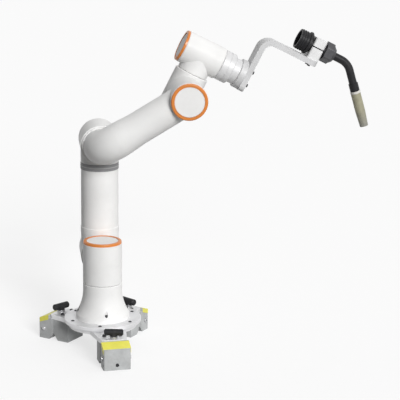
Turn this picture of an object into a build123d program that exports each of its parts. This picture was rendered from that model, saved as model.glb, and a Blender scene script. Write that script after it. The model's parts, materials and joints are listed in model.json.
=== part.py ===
"""Six-axis robot arm on a magnetic tripod stand, with a welding torch on its tool flange.

Frame: +Z up, +X the way the arm reaches, -Y its open front. The origin lies on the base joint's
axis, in the plane of the three magnets' feet. Lengths are in millimetres and turns in degrees.
"""
from build123d import *
from math import cos, radians, sin, tan
import os

os.makedirs("parts", exist_ok=True)

# Rest pose and reach of the arm
upper_arm_length = 280.0
forearm_length = 240.0
forearm_rise = 31.0
wrist_tilt = 26.5
shoulder_rise = 140.0

# Clearances and cutting
joint_gap = 0.6
seat_gap = 0.2
cut_overrun = 2.0

# Magnet feet
foot_angles = {"front": -83.0, "right": 55.0, "left": 143.0}
front_magnet_reach = 100.0
rear_magnet_reach = 82.0
magnet_length = 88.0
magnet_width = 66.0
magnet_face_height = 51.0
magnet_crest_height = 63.0
magnet_seat_height = 54.0
magnet_seat_length = 56.0
magnet_corner_radius = 4.0
pole_notch_width = 26.0
pole_notch_depth = 18.0
pole_parting_width = 9.0
pole_parting_depth = 1.2

# Magnet switches
switch_stand_in = 43.0
switch_shaft_radius = 6.5
switch_shaft_height = 17.0
switch_collar_radius = 10.0
switch_collar_height = 4.0
switch_grip_length = 46.0
switch_grip_radius = 8.0
switch_grip_end_chamfer = 2.5
switch_grip_turn = 75.0
switch_hub_radius = 9.0
switch_hub_height = 1.0
switch_hole_clearance = 4.0

# Star plate and adapter disc
star_thickness = 11.0
star_hub_radius = 84.0
star_arm_root_width = 112.0
star_arm_tip_width = 60.0
star_tip_radius = 7.0
star_edge_chamfer = 1.0
disc_thickness = 10.0
disc_radius = 95.0
disc_edge_chamfer = 1.5

# Base and shoulder housings
column_radius = 48.0
column_height = 88.0
flange_radius = 66.0
flange_thickness = 11.0
flare_height = 60.0
flange_screw_count = 4
flange_screw_angle = 5.0
flange_screw_circle = 59.5
flange_pocket_radius = 3.8
flange_pocket_floor = 8.0
housing_edge_radius = 1.6
base_cap_rise = 49.0
shoulder_cross_radius = 47.0

# Joint caps
cap_ring_inset = 1.0
cap_ring_width = 7.5
cap_ring_height = 6.0
cap_ring_edge_radius = 2.5
cap_height = 5.0
cap_edge_radius = 1.5

# Upper arm
joint_face_lip = 3.0
arm_housing_radius = 49.5
arm_housing_wall = 2.0
arm_collar_radius = 47.0
arm_tube_radius = 46.5
arm_ring_radius = 47.6
arm_ring_height = 17.0
arm_ring_distance = 58.0

# Forearm
elbow_face_lip = 5.0
elbow_lead = 6.0
elbow_bend_radius = 43.0
elbow_taper_length = 60.0
forearm_tube_radius = 40.0
wrist_joint_radius = 45.5
wrist_joint_front_depth = 47.0

# Wrist housings
wrist_one_radius = 43.0
wrist_one_neck_radius = 41.0
wrist_one_neck_stand = 7.4
wrist_one_barrel_front = 10.0
wrist_one_barrel_back = 7.0
wrist_two_radius = 40.5
wrist_two_neck_radius = 38.5
wrist_two_neck_stand = 9.9
wrist_two_barrel_front = 12.5
wrist_two_barrel_back = 11.0
wrist_three_radius = 38.5
wrist_three_length = 31.0
wrist_three_groove_depth = 1.2
wrist_three_groove_width = 3.0
tool_flange_radius = 32.0
tool_flange_height = 17.4

# Torch bracket
adapter_radius = 37.0
adapter_thickness = 17.0
adapter_edge_chamfer = 1.5
bracket_thickness = 14.0
bracket_width = 54.0
bracket_foot_drop = 37.0
bracket_rise = 112.0
bracket_reach = 150.0
bracket_bend_radius = 18.0
bracket_corner_radius = 14.0

# Torch
torch_axis_rise = 143.0
torch_body_radius = 19.0
torch_body_start = 222.0
torch_body_length = 49.0
clamp_length = 30.0
clamp_width = 50.0
clamp_height = 46.0
clamp_slot = 3.0
clamp_start = 235.0
clamp_edge_chamfer = 2.5
clamp_screw_spread = 39.0
clamp_pocket_radius = 4.5
clamp_pocket_depth = 5.0
collar_radius = 29.0
collar_thickness = 7.0
collar_edge_chamfer = 1.5
socket_radius = 25.0
socket_bore_radius = 20.0
socket_depth = 24.0
nut_radius = 24.0
nut_length = 28.0
nut_shoulder_length = 8.0
nut_corner_share = 0.955
neck_radius = 10.0
neck_lead = 22.0
neck_bend_radius = 45.0
neck_bend = 47.0
neck_tail = 54.0
neck_sleeve_radius = 12.0
neck_sleeve_length = 20.0
insulator_radius = 13.0
insulator_length = 7.0
insulator_edge_chamfer = 1.5
nozzle_radius = 12.5
nozzle_mouth_radius = 10.5
nozzle_bore_radius = 8.5
nozzle_length = 86.0
nozzle_bore_depth = 26.0
nozzle_taper_share = 0.45
tip_radius = 4.0
tip_length = 24.0
tip_point_radius = 2.5

# Reaches, levels and centres worked out from the sizes above
arm_joint_reach = column_radius + joint_face_lip
elbow_radius = arm_joint_reach - elbow_face_lip
wrist_one_neck_reach = wrist_one_radius + wrist_one_neck_stand
wrist_two_neck_reach = wrist_two_radius + wrist_two_neck_stand
wrist_one_front = wrist_one_neck_radius + wrist_one_barrel_front
wrist_two_front = wrist_two_neck_radius + wrist_two_barrel_front
wrist_side_offset = arm_joint_reach + joint_gap + wrist_one_neck_reach
wrist_drop = wrist_one_front + joint_gap + wrist_two_neck_reach
wrist_three_start = wrist_two_front + joint_gap
tool_flange_reach = wrist_three_start + wrist_three_length + tool_flange_height
foot_reaches = {"front": front_magnet_reach, "right": rear_magnet_reach, "left": rear_magnet_reach}
disc_level = magnet_seat_height + star_thickness
base_level = disc_level + disc_thickness
column_top = base_level + column_height
shoulder_level = base_level + shoulder_rise
elbow_level = shoulder_level + upper_arm_length
rise_cos, rise_sin = cos(radians(forearm_rise)), sin(radians(forearm_rise))
tilt_cos, tilt_sin = cos(radians(wrist_tilt)), sin(radians(wrist_tilt))
wrist_x = forearm_length * rise_cos
wrist_level = elbow_level + forearm_length * rise_sin
tool_x = wrist_x + wrist_drop * tilt_sin
tool_level = wrist_level + wrist_drop * tilt_cos

# Local planes: x along the link, z towards the open front
forearm_plane = Plane((0, 0, elbow_level), x_dir=(rise_cos, 0, rise_sin), z_dir=(0, -1, 0))
wrist_plane = Plane(
    (wrist_x, wrist_side_offset, wrist_level), x_dir=(tilt_cos, 0, -tilt_sin), z_dir=(0, -1, 0)
)
tool_plane = Plane(
    (tool_x, wrist_side_offset, tool_level), x_dir=(tilt_cos, 0, -tilt_sin), z_dir=(0, -1, 0)
)


def face_plane(frame, place, outward):
    """A plane at a local place of a frame, with its normal along a local direction."""
    origin = frame.from_local_coords(Vector(*place))
    normal = frame.from_local_coords(Vector(*place) + Vector(*outward)) - origin
    return Plane(origin, z_dir=normal)


def keep(builder, name):
    """Label a finished piece and write it out."""
    builder.part.label = name
    export_step(builder.part, f"parts/{name}.step")


def radial_plane(turn):
    """The upright plane through the stand's axis at a turn: x outwards, y up."""
    out = (cos(radians(turn)), sin(radians(turn)), 0)
    side = (sin(radians(turn)), -cos(radians(turn)), 0)
    return Plane((0, 0, 0), x_dir=out, z_dir=side)


hub_level = magnet_seat_height + seat_gap + switch_shaft_height
grip_level = hub_level + switch_hub_height + switch_grip_radius

# Magnet feet: a block with a sloping nose, a notch between its two poles and a seat for the star plate
for foot, turn in foot_angles.items():
    inner_reach = foot_reaches[foot]
    outer_reach = inner_reach + magnet_length
    seat_end = inner_reach + magnet_seat_length
    notch_reach = inner_reach + magnet_length / 2
    with BuildPart() as magnet:
        with BuildSketch(radial_plane(turn)):
            with BuildLine():
                Polyline(
                    (inner_reach, 0),
                    (notch_reach - pole_notch_width / 2, 0),
                    (notch_reach, pole_notch_depth),
                    (notch_reach + pole_notch_width / 2, 0),
                    (outer_reach, 0),
                    (outer_reach, magnet_face_height),
                    (seat_end, magnet_crest_height),
                    (seat_end, magnet_seat_height),
                    (inner_reach, magnet_seat_height),
                    close=True,
                )
            make_face()
        extrude(amount=magnet_width / 2, both=True)
        outer_edges = magnet.edges().filter_by(Axis.Z).sort_by(lambda e: -e.center().length)[:2]
        fillet(outer_edges, magnet_corner_radius)
        for side in (1, -1):
            with BuildSketch(radial_plane(turn).offset(side * magnet_width / 2)):
                with Locations((notch_reach, magnet_seat_height / 2)):
                    Rectangle(pole_parting_width, magnet_seat_height)
            extrude(amount=-side * pole_parting_depth, mode=Mode.SUBTRACT)
    keep(magnet, f"magnet_{foot}")

    # Switch: an upright shaft with a collar, and a cross grip on a short hub
    switch_reach = inner_reach + switch_stand_in
    switch_place = radial_plane(turn).from_local_coords(Vector(switch_reach, magnet_seat_height + seat_gap))
    with BuildPart() as shaft:
        with BuildSketch(Plane(switch_place)):
            Circle(switch_shaft_radius)
        extrude(amount=switch_shaft_height)
        with BuildSketch(Plane(switch_place).offset(star_thickness + seat_gap)):
            Circle(switch_collar_radius)
        extrude(amount=switch_collar_height)
    keep(shaft, f"switch_shaft_{foot}")

    grip_out = (cos(radians(turn + switch_grip_turn)), sin(radians(turn + switch_grip_turn)), 0)
    with BuildPart() as grip:
        with BuildSketch(Plane((switch_place.X, switch_place.Y, grip_level), z_dir=grip_out)):
            Circle(switch_grip_radius)
        extrude(amount=switch_grip_length / 2, both=True)
        chamfer(grip.edges().filter_by(GeomType.CIRCLE), switch_grip_end_chamfer)
        with BuildSketch(Plane((switch_place.X, switch_place.Y, hub_level))):
            Circle(switch_hub_radius)
        extrude(amount=switch_hub_height + switch_grip_radius)
    keep(grip, f"switch_grip_{foot}")

# Star plate: a hub with three tapering arms that lie on the magnets' seats
with BuildPart() as star:
    with BuildSketch(Plane.XY.offset(magnet_seat_height)) as star_outline:
        Circle(star_hub_radius)
        for foot, turn in foot_angles.items():
            arm_end = foot_reaches[foot] + magnet_seat_length - seat_gap
            with BuildLine(Plane((0, 0, 0), x_dir=(cos(radians(turn)), sin(radians(turn)), 0))):
                Polyline(
                    (0, star_arm_root_width / 2),
                    (arm_end, star_arm_tip_width / 2),
                    (arm_end, -star_arm_tip_width / 2),
                    (0, -star_arm_root_width / 2),
                    close=True,
                )
            make_face()
        tips = star_outline.vertices().sort_by(lambda v: -Vector(v.X, v.Y).length)[:2 * len(foot_angles)]
        fillet(tips, star_tip_radius)
        for foot, turn in foot_angles.items():
            switch_reach = foot_reaches[foot] + switch_stand_in
            with Locations((switch_reach * cos(radians(turn)), switch_reach * sin(radians(turn)))):
                Circle(switch_shaft_radius + switch_hole_clearance / 2, mode=Mode.SUBTRACT)
    extrude(amount=star_thickness)
    chamfer(star.faces().sort_by(Axis.Z)[-1].outer_wire().edges(), star_edge_chamfer)
keep(star, "star_plate")

# Adapter disc between the star plate and the arm's base flange
with BuildPart() as disc:
    with BuildSketch(Plane.XY.offset(disc_level)):
        Circle(disc_radius)
    extrude(amount=disc_thickness)
    chamfer(disc.edges(), disc_edge_chamfer)
keep(disc, "adapter_disc")

# Base housing: a bolted flange that flares into the column
with BuildPart() as base:
    with BuildSketch(Plane.XZ):
        with BuildLine():
            flare_start = (column_radius, base_level + flange_thickness + flare_height)
            flare_end = (flange_radius, base_level + flange_thickness)
            Line((0, base_level), (flange_radius, base_level))
            Line((flange_radius, base_level), flare_end)
            TangentArc(flare_start, flare_end, tangent=(0, -1))
            Line(flare_start, (column_radius, column_top))
            Line((column_radius, column_top), (0, column_top))
            Line((0, column_top), (0, base_level))
        make_face()
    revolve(axis=Axis.Z)
    chamfer(base.edges().group_by(Axis.Z)[-1], housing_edge_radius)
    with BuildSketch(Plane.XY.offset(base_level + flange_pocket_floor)):
        with PolarLocations(flange_screw_circle, flange_screw_count, start_angle=-90 + flange_screw_angle):
            Circle(flange_pocket_radius)
    extrude(amount=flare_height, mode=Mode.SUBTRACT)
keep(base, "base_housing")

# Shoulder housing: an upright barrel with a side face for the upper arm
shoulder_top = shoulder_level + base_cap_rise
with BuildPart() as shoulder:
    with BuildSketch(Plane.XY.offset(column_top + joint_gap)):
        Circle(column_radius)
    extrude(amount=shoulder_top - column_top - joint_gap)
    chamfer(shoulder.edges().group_by(Axis.Z)[0], housing_edge_radius)
    with BuildSketch(Plane((0, 0, shoulder_level), z_dir=(0, 1, 0))):
        Circle(shoulder_cross_radius)
    extrude(amount=arm_joint_reach)
    chamfer(shoulder.edges().group_by(Axis.Y)[-1], housing_edge_radius)
    with BuildSketch(Plane.XY.offset(shoulder_top)):
        Circle(column_radius)
    extrude(amount=shoulder_cross_radius, mode=Mode.SUBTRACT)
keep(shoulder, "shoulder_housing")


def joint_cap(name, seat, radius):
    """The coloured ring and the white disc that close a joint's end, on a seat plane."""
    ring_radius = radius - cap_ring_inset
    bore_radius = ring_radius - cap_ring_width
    with BuildPart() as ring:
        with BuildSketch(seat):
            Circle(ring_radius)
            Circle(bore_radius, mode=Mode.SUBTRACT)
        extrude(amount=cap_ring_height)
        top = ring.faces().sort_by(lambda f: (f.center() - seat.origin).dot(seat.z_dir))[-1]
        fillet(top.outer_wire().edges(), cap_ring_edge_radius)
    keep(ring, f"{name}_ring")
    with BuildPart() as cap:
        with BuildSketch(seat):
            Circle(bore_radius - seat_gap)
        extrude(amount=cap_height)
        top = cap.faces().sort_by(lambda f: (f.center() - seat.origin).dot(seat.z_dir))[-1]
        fillet(top.edges(), cap_edge_radius)
    keep(cap, f"{name}_cap")


joint_cap("base_joint", Plane.XY.offset(shoulder_top), column_radius)

# Upper arm: two cross housings, a tube between them and a ring at each end of the tube
arm_face = arm_joint_reach + joint_gap
arm_side_offset = arm_face + arm_housing_wall + arm_collar_radius
arm_back = arm_side_offset + arm_collar_radius + arm_housing_wall
ring_lower = shoulder_level + arm_ring_distance - arm_ring_height / 2
ring_upper = elbow_level - arm_ring_distance - arm_ring_height / 2


def arm_housing(name, axis_level, collar_end):
    """A cross housing on a joint axis with a collar that runs to a level on the tube's line."""
    with BuildPart() as housing:
        with BuildSketch(Plane((0, arm_face, axis_level), z_dir=(0, 1, 0))):
            Circle(arm_housing_radius)
        extrude(amount=arm_back - arm_face)
        chamfer(housing.faces().sort_by(Axis.Y)[0].edges(), housing_edge_radius)
        with BuildSketch(Plane((0, arm_side_offset, axis_level))):
            Circle(arm_collar_radius)
        extrude(amount=collar_end - axis_level)
    keep(housing, name)


arm_housing("upper_arm_lower_housing", shoulder_level, ring_lower)
arm_housing("upper_arm_upper_housing", elbow_level, ring_upper + arm_ring_height)

for name, level in (("upper_arm_lower_ring", ring_lower), ("upper_arm_upper_ring", ring_upper)):
    with BuildPart() as ring:
        with BuildSketch(Plane((0, arm_side_offset, level))):
            Circle(arm_ring_radius)
        extrude(amount=arm_ring_height)
        chamfer(ring.edges(), housing_edge_radius / 2)
    keep(ring, name)

with BuildPart() as tube:
    with BuildSketch(Plane((0, arm_side_offset, ring_lower + arm_ring_height))):
        Circle(arm_tube_radius)
    extrude(amount=ring_upper - ring_lower - arm_ring_height)
keep(tube, "upper_arm_tube")

joint_cap("shoulder_joint", Plane((0, arm_back, shoulder_level), z_dir=(0, 1, 0)), arm_housing_radius)
joint_cap("elbow_joint", Plane((0, arm_back, elbow_level), z_dir=(0, 1, 0)), arm_housing_radius)

# Forearm: a round elbow bend from the joint's face into the tube, and a cross housing for the wrist
elbow_turn_reach = arm_joint_reach - elbow_lead
elbow_bend_plane = Plane((0, 0, elbow_level), x_dir=(rise_cos, 0, rise_sin), z_dir=(-rise_sin, 0, rise_cos))
bend_centre = elbow_bend_plane.from_local_coords(Vector(elbow_turn_reach, elbow_turn_reach))
with BuildPart() as forearm:
    with BuildSketch(Plane((0, elbow_turn_reach, elbow_level), z_dir=(0, 1, 0))):
        Circle(elbow_radius)
    extrude(amount=elbow_lead)
    with BuildSketch(Plane((0, elbow_turn_reach, elbow_level), x_dir=(rise_cos, 0, rise_sin), z_dir=(0, 1, 0))):
        Circle(elbow_bend_radius)
    revolve(axis=Axis(bend_centre, elbow_bend_plane.z_dir), revolution_arc=90)
    with BuildSketch(forearm_plane):
        with BuildLine():
            taper_end = elbow_turn_reach + elbow_taper_length
            Line((elbow_turn_reach, 0), (forearm_length, 0))
            Line((forearm_length, 0), (forearm_length, forearm_tube_radius))
            Line((forearm_length, forearm_tube_radius), (taper_end, forearm_tube_radius))
            Spline(
                (taper_end, forearm_tube_radius),
                (elbow_turn_reach, elbow_bend_radius),
                tangents=((-1, 0), (-1, 0)),
            )
            Line((elbow_turn_reach, elbow_bend_radius), (elbow_turn_reach, 0))
        make_face()
    revolve(axis=Axis(forearm_plane.origin, forearm_plane.x_dir))
    with BuildSketch(Plane((wrist_x, -wrist_joint_front_depth, wrist_level), z_dir=(0, 1, 0))):
        Circle(wrist_joint_radius)
    extrude(amount=wrist_joint_front_depth + arm_joint_reach)
    back_faces = forearm.faces().filter_by(GeomType.PLANE).sort_by(Axis.Y)[-2:]
    chamfer(back_faces.edges(), housing_edge_radius)
keep(forearm, "forearm_casting")

forearm_cap_seat = Plane((wrist_x, -wrist_joint_front_depth, wrist_level), z_dir=(0, -1, 0))
joint_cap("wrist_joint", forearm_cap_seat, wrist_joint_radius)

# First wrist housing: turns on the forearm and carries the second one at its top
wrist_one_back = wrist_one_neck_radius + wrist_one_barrel_back
with BuildPart() as wrist_one:
    with BuildSketch(face_plane(wrist_plane, (0, -wrist_one_back, 0), (0, 1, 0))):
        Circle(wrist_one_radius)
    extrude(amount=wrist_one_back + wrist_one_front)
    chamfer(wrist_one.edges().filter_by(GeomType.CIRCLE), housing_edge_radius)
    with BuildSketch(wrist_plane):
        Circle(wrist_one_neck_radius)
    extrude(amount=wrist_one_neck_reach)
    chamfer(wrist_one.faces().sort_by(Axis.Y)[0].edges(), housing_edge_radius)
keep(wrist_one, "wrist_one_housing")
joint_cap("wrist_one", face_plane(wrist_plane, (0, -wrist_one_back, 0), (0, -1, 0)), wrist_one_radius)

# Second wrist housing: turns on the first one and carries the tool joint across it
wrist_two_back = wrist_two_neck_radius + wrist_two_barrel_back
with BuildPart() as wrist_two:
    with BuildSketch(face_plane(tool_plane, (-wrist_two_back, 0, 0), (1, 0, 0))):
        Circle(wrist_two_radius)
    extrude(amount=wrist_two_back + wrist_two_front)
    chamfer(wrist_two.edges().filter_by(GeomType.CIRCLE), housing_edge_radius)
    with BuildSketch(face_plane(tool_plane, (0, 0, 0), (0, -1, 0))):
        Circle(wrist_two_neck_radius)
    extrude(amount=wrist_two_neck_reach)
    chamfer(wrist_two.edges().sort_by(Axis(tool_plane.origin, tool_plane.y_dir))[0], housing_edge_radius)
keep(wrist_two, "wrist_two_housing")
joint_cap("wrist_two", face_plane(tool_plane, (-wrist_two_back, 0, 0), (-1, 0, 0)), wrist_two_radius)

# Third wrist housing: the turning tool flange, with a groove round its barrel
wrist_three_seat = face_plane(tool_plane, (wrist_three_start, 0, 0), (1, 0, 0))
with BuildPart() as wrist_three:
    with BuildSketch(wrist_three_seat):
        Circle(wrist_three_radius)
    extrude(amount=wrist_three_length)
    chamfer(wrist_three.edges(), housing_edge_radius)
    with BuildSketch(wrist_three_seat.offset((wrist_three_length - wrist_three_groove_width) / 2)):
        Circle(wrist_three_radius + cut_overrun)
        Circle(wrist_three_radius - wrist_three_groove_depth, mode=Mode.SUBTRACT)
    extrude(amount=wrist_three_groove_width, mode=Mode.SUBTRACT)
    with BuildSketch(wrist_three_seat):
        Circle(tool_flange_radius)
    extrude(amount=wrist_three_length + tool_flange_height)
keep(wrist_three, "wrist_three_flange")

# Adapter between the tool flange and the bracket
bracket_start = tool_flange_reach + adapter_thickness
with BuildPart() as adapter:
    with BuildSketch(face_plane(tool_plane, (tool_flange_reach, 0, 0), (1, 0, 0))):
        Circle(adapter_radius)
    extrude(amount=adapter_thickness)
    chamfer(adapter.edges(), adapter_edge_chamfer)
keep(adapter, "tool_adapter")

# Bracket: a bar bent to a right angle, from the flange up and forwards under the torch
bracket_nose = bracket_start + bracket_reach
bracket_inside = (bracket_start + bracket_thickness, bracket_rise - bracket_thickness)
with BuildPart() as bracket:
    with BuildSketch(tool_plane) as bracket_side:
        with BuildLine():
            Polyline(
                (bracket_start, -bracket_foot_drop),
                (bracket_inside[0], -bracket_foot_drop),
                bracket_inside,
                (bracket_nose, bracket_inside[1]),
                (bracket_nose, bracket_rise),
                (bracket_start, bracket_rise),
                close=True,
            )
        make_face()
        fillet(bracket_side.vertices().sort_by_distance(bracket_inside)[:1], bracket_bend_radius)
        outer_corner = bracket_side.vertices().sort_by_distance((bracket_start, bracket_rise))[:1]
        fillet(outer_corner, bracket_bend_radius + bracket_thickness)
    extrude(amount=bracket_width / 2, both=True)
    tool_out = Axis(tool_plane.origin, tool_plane.x_dir)
    tool_up = Axis(tool_plane.origin, tool_plane.y_dir)
    foot_edges = bracket.edges().filter_by(tool_out).group_by(tool_up)[0]
    nose_edges = bracket.edges().filter_by(tool_up).group_by(tool_out)[-1]
    fillet(foot_edges + nose_edges, bracket_corner_radius)
keep(bracket, "torch_bracket")


def torch_plane(reach):
    """A plane square to the torch's straight body at a reach from the wrist."""
    return face_plane(tool_plane, (reach, torch_axis_rise, 0), (1, 0, 0))


# Torch body, held in a split clamp on the bracket's nose
with BuildPart() as torch_body:
    with BuildSketch(torch_plane(torch_body_start + collar_thickness)):
        Circle(torch_body_radius)
    extrude(amount=torch_body_length - collar_thickness)
keep(torch_body, "torch_body")

clamp_base = bracket_rise - torch_axis_rise
clamp_middle = clamp_start + clamp_length / 2
for name, low, high in (
    ("clamp_lower", clamp_base, -clamp_slot / 2),
    ("clamp_upper", clamp_slot / 2, clamp_height / 2),
):
    with BuildPart() as clamp:
        with BuildSketch(tool_plane):
            with Locations((clamp_middle, torch_axis_rise + (low + high) / 2)):
                Rectangle(clamp_length, high - low)
        extrude(amount=clamp_width / 2, both=True)
        chamfer(clamp.edges().filter_by(tool_up), clamp_edge_chamfer)
        with BuildSketch(torch_plane(clamp_start - cut_overrun)):
            Circle(torch_body_radius + seat_gap)
        extrude(amount=clamp_length + 2 * cut_overrun, mode=Mode.SUBTRACT)
        if name == "clamp_upper":
            pocket_floor = torch_axis_rise + high - clamp_pocket_depth
            with BuildSketch(face_plane(tool_plane, (clamp_middle, pocket_floor, 0), (0, 1, 0))):
                with GridLocations(0, clamp_screw_spread, 1, 2):
                    Circle(clamp_pocket_radius)
            extrude(amount=clamp_pocket_depth + cut_overrun, mode=Mode.SUBTRACT)
    keep(clamp, name)

# Hose collar: a disc at the torch's back with an open socket for the hose's end
with BuildPart() as collar:
    with BuildSketch(torch_plane(torch_body_start)):
        Circle(collar_radius)
    extrude(amount=collar_thickness)
    chamfer(collar.edges(), collar_edge_chamfer)
    with BuildSketch(torch_plane(torch_body_start)):
        Circle(socket_radius)
        Circle(socket_bore_radius, mode=Mode.SUBTRACT)
    extrude(amount=-socket_depth)
keep(collar, "hose_collar")

# Nut that holds the neck in the body: six flats, turned corners and a round shoulder
nut_start = torch_body_start + torch_body_length
with BuildPart() as nut:
    with BuildSketch(torch_plane(nut_start)):
        RegularPolygon(nut_radius, 6, major_radius=False)
        Circle(nut_radius / cos(radians(30)) * nut_corner_share, mode=Mode.INTERSECT)
    extrude(amount=nut_length - nut_shoulder_length)
    with BuildSketch(torch_plane(nut_start + nut_length - nut_shoulder_length)):
        Circle(nut_radius)
    with BuildSketch(torch_plane(nut_start + nut_length)):
        Circle((nut_radius + neck_radius) / 2)
    loft()
keep(nut, "torch_nut")

# Swan neck: a straight lead, a bend and a straight tail with a sleeve
neck_start = nut_start + nut_length
bend_cos, bend_sin = cos(radians(neck_bend)), sin(radians(neck_bend))
bend_run = neck_bend_radius * tan(radians(neck_bend / 2))
corner_x = neck_start + neck_lead + bend_run
tail_x = corner_x + (bend_run + neck_tail) * bend_cos
tail_y = torch_axis_rise - (bend_run + neck_tail) * bend_sin


def tail_plane(along):
    """A plane square to the neck's tail, at a distance past its end."""
    place = (tail_x + along * bend_cos, tail_y - along * bend_sin, 0)
    return face_plane(tool_plane, place, (bend_cos, -bend_sin, 0))


with BuildPart() as neck:
    with BuildLine(tool_plane) as neck_line:
        FilletPolyline(
            (neck_start, torch_axis_rise),
            (corner_x, torch_axis_rise),
            (tail_x, tail_y),
            radius=neck_bend_radius,
        )
    with BuildSketch(torch_plane(neck_start)):
        Circle(neck_radius)
    sweep(path=neck_line.wires()[0])
    with BuildSketch(tail_plane(-neck_sleeve_length)):
        Circle(neck_sleeve_radius)
    extrude(amount=neck_sleeve_length)
keep(neck, "torch_neck")

with BuildPart() as insulator:
    with BuildSketch(tail_plane(0)):
        Circle(insulator_radius)
    extrude(amount=insulator_length)
    chamfer(insulator.edges(), insulator_edge_chamfer)
keep(insulator, "nozzle_insulator")

# Gas nozzle: a straight shell with a tapering, open mouth
with BuildPart() as nozzle:
    taper_start = nozzle_length * (1 - nozzle_taper_share)
    with BuildSketch(tail_plane(insulator_length)):
        Circle(nozzle_radius)
    extrude(amount=taper_start)
    with BuildSketch(tail_plane(insulator_length + taper_start)):
        Circle(nozzle_radius)
    with BuildSketch(tail_plane(insulator_length + nozzle_length)):
        Circle(nozzle_mouth_radius)
    loft()
    with BuildSketch(tail_plane(insulator_length + nozzle_length)):
        Circle(nozzle_bore_radius)
    extrude(amount=-nozzle_bore_depth, mode=Mode.SUBTRACT)
keep(nozzle, "nozzle")

# Contact tip inside the nozzle's mouth
with BuildPart() as tip:
    tip_start = insulator_length + nozzle_length - nozzle_bore_depth
    with BuildSketch(tail_plane(tip_start)):
        Circle(tip_radius)
    extrude(amount=tip_length)
    tip_end = tip.faces().sort_by(lambda f: (f.center() - tail_plane(0).origin).dot(tail_plane(0).z_dir))[-1]
    chamfer(tip_end.edges(), tip_radius - tip_point_radius)
keep(tip, "contact_tip")
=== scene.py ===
"""A white six-axis robot arm on a magnetic stand, with a swan-neck welding torch on its tool flange.

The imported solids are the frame. Each class below dresses one sub-assembly: it gives the solids their
finishes and adds the seals, screws, ribs and plates that are too small for the solids.
"""

import json
import logging
from dataclasses import dataclass, replace
from enum import Enum, IntEnum
from functools import cache
from math import cos, radians, sin, tau
from typing import Iterable, Sequence

import bmesh
import bpy
from bpy.types import Material, Mesh, Node, NodeSocket, NodeTree, World
from mathutils import Matrix, Vector

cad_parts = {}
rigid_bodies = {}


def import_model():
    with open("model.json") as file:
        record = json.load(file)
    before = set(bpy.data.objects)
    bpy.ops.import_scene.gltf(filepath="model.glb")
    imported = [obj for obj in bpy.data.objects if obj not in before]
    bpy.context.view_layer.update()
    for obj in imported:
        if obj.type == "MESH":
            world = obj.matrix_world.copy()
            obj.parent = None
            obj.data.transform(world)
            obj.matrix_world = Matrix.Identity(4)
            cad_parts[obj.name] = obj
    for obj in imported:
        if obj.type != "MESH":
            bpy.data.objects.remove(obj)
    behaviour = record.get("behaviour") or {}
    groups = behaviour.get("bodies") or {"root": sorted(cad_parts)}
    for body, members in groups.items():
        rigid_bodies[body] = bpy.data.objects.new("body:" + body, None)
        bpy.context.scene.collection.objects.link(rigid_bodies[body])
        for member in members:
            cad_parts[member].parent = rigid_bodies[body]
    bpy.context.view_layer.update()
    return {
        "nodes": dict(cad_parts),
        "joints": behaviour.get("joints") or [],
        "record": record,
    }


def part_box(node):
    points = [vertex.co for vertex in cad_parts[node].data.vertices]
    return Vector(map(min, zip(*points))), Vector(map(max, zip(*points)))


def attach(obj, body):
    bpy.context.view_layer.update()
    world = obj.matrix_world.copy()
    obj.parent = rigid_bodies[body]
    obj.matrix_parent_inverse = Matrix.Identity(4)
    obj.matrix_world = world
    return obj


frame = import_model()

LOG = logging.getLogger("robot_arm")
MM = 0.001
UP = Vector((0.0, 0.0, 1.0))
SIDES = (1.0, -1.0)
SHARP_ANGLE = radians(32.0)
SAME_PLACE = 0.001 * MM
SAME_PLACE_DIGITS = 6
SAME_LEVEL = 0.2 * MM

Triple = tuple[float, float, float]
Colour = Triple
Span = tuple[float, float]


class Foot(Enum):
    """The three magnet feet of the stand."""

    FRONT = "front"
    RIGHT = "right"
    LEFT = "left"


class ArmJoint(Enum):
    """The six drive joints, from the stand to the tool."""

    BASE = "base_turn"
    SHOULDER = "shoulder_swing"
    ELBOW = "elbow_swing"
    WRIST = "wrist_swing"
    WRIST_TURN = "wrist_turn"
    TOOL = "tool_turn"


class Surface(Enum):
    """The shader node groups that the finishes share."""

    MOTTLE = "surface_mottle"
    GRAIN = "fine_grain"
    SMUDGE = "soft_smudges"
    TOOL_MARKS = "tool_marks"
    TURNING = "turning_rings"


class Socket(Enum):
    """The kinds of socket that the node groups have."""

    FLOAT = "NodeSocketFloat"
    INT = "NodeSocketInt"
    VECTOR = "NodeSocketVector"
    COLOUR = "NodeSocketColor"
    MATERIAL = "NodeSocketMaterial"
    GEOMETRY = "NodeSocketGeometry"


class Seed(IntEnum):
    """The seeds that turn the sockets of each group of screws; each foot takes two, one after the other."""

    STAR = 11
    DISC = 12
    FLANGE = 13
    BRACKET = 21
    CLAMP = 22
    NOSE = 23
    FIRST_FOOT = 31


Sockets = dict[str, Socket]


def opaque(colour: Colour) -> tuple[float, float, float, float]:
    """Returns a colour with full cover."""
    return (*colour, 1.0)


def grey(level: float) -> tuple[float, float, float, float]:
    """Returns a neutral colour with full cover."""
    return opaque((level, level, level))


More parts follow.
